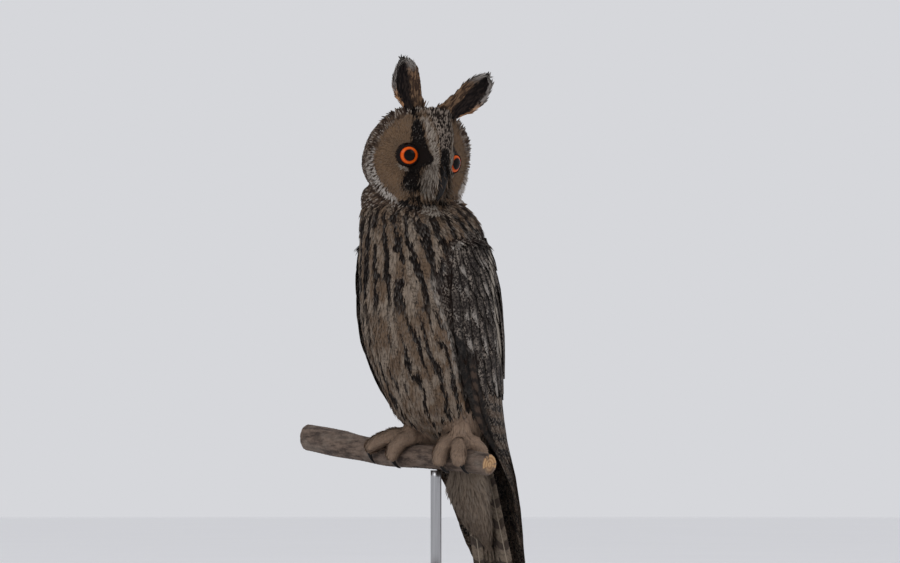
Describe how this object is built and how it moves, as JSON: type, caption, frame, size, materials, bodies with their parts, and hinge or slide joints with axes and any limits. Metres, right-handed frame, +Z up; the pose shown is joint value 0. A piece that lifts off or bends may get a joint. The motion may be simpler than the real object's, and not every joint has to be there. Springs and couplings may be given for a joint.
{
  "type": "long-eared owl figure",
  "caption": "Life-size long-eared owl perched upright on a short cut branch, head turned to its left, held over a round base by a rod",
  "frame": {"origin": "Centre of the underside of the round base, on the surface it rests on", "axes": "+Z up; the owl's body faces -Y and its left side is +X; the perch runs along X; the head is turned about 75 degrees from -Y towards +X"},
  "size_m": [0.2173, 0.176, 0.4171],
  "materials": {
    "torso": "buff breast feathers with dark streaks",
    "neck": "buff and dark brown feathers",
    "head": "tan facial disc with a dark speckled ruff",
    "tuft": "dark feathers with pale edges",
    "eye": "orange iris under a clear wet surface",
    "bill": "blackish horn",
    "wing": "dark brown-grey feathers with pale spots and bars",
    "tail": "grey-buff feathers with dark bars",
    "leg": "plain warm buff feathering",
    "claw": "blackish horn",
    "perch": "grey-brown bark",
    "stand_base": "dark stained wood, satin",
    "stand_rod": "brushed steel"
  },
  "bodies": {
    "root": {"torso": "torso", "neck": "neck", "head": "head", "bill_upper": "bill", "bill_lower": "bill", "tail": "tail", "perch": "perch", "eye_left": "eye", "eye_right": "eye", "tuft_left": "tuft", "tuft_right": "tuft", "wing_left": "wing", "wing_right": "wing", "leg_left": "leg", "leg_right": "leg", "foot_left": "leg", "foot_right": "leg", "claw_left_1": "claw", "claw_left_2": "claw", "claw_left_3": "claw", "claw_left_4": "claw", "claw_right_1": "claw", "claw_right_2": "claw", "claw_right_3": "claw", "claw_right_4": "claw", "stand_base": "stand_base", "stand_rod": "stand_rod"}
  },
  "joints": []
}
